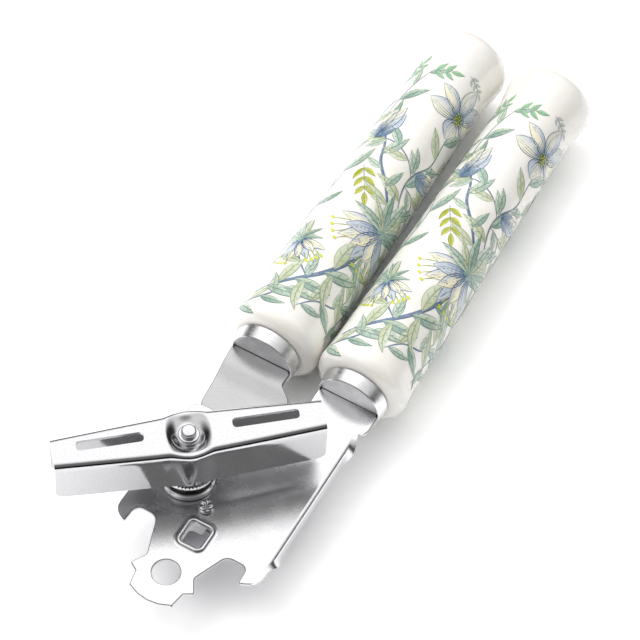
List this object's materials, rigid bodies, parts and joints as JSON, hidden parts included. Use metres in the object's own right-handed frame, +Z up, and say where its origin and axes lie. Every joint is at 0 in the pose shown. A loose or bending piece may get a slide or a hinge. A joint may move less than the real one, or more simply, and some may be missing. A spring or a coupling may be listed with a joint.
{
  "type": "manual can opener",
  "caption": "Butterfly can opener with a hooked steel head, an eccentric pivot, a long channel-shaped turning key and round white handles printed with leaves and flowers.",
  "frame": {"origin": "bottom centre of the bounding box with the opener lying on a table, key upwards and handles closed", "axes": "+Y along the handles towards their butts, +Z up out of the table along the pivot and the key's spindle, +X towards the handle of the plate that carries the cutter"},
  "size_m": [0.07, 0.2072, 0.0382],
  "materials": {
    "nickel_steel": "polished nickel-plated steel",
    "ferrule_steel": "turned satin steel",
    "hardened_steel": "dark hardened steel",
    "printed_plastic": "glossy white with a printed leaf and flower pattern",
    "core_plastic": "plain moulded"
  },
  "bodies": {
    "upper_arm": {"upper_plate": "nickel_steel", "cutter_blade": "hardened_steel", "cutter_rivet": "nickel_steel", "right_ferrule": "ferrule_steel", "right_handle": "printed_plastic", "right_handle_core": "core_plastic"},
    "lower_arm": {"lower_plate": "nickel_steel", "eccentric_bush": "nickel_steel", "bush_lock_ring": "hardened_steel", "left_ferrule": "ferrule_steel", "left_handle": "printed_plastic", "left_handle_core": "core_plastic"},
    "key": {"turning_key": "nickel_steel", "key_spindle": "nickel_steel", "key_washer": "nickel_steel", "toothed_washer": "hardened_steel", "feed_wheel": "hardened_steel", "wheel_washer": "nickel_steel", "spindle_nut": "nickel_steel"}
  },
  "joints": [
    {"name": "handle_hinge", "type": "hinge", "parent": "upper_arm", "child": "lower_arm", "pos_m": [-0.00615, -0.06505, 0.0136], "axis": [0, 0, 1], "range_deg": [0, 55]},
    {"name": "key_spin", "type": "hinge", "parent": "lower_arm", "child": "key", "pos_m": [-0.0042, -0.06552, 0.0136], "axis": [0, 0, 1], "continuous": true}
  ]
}
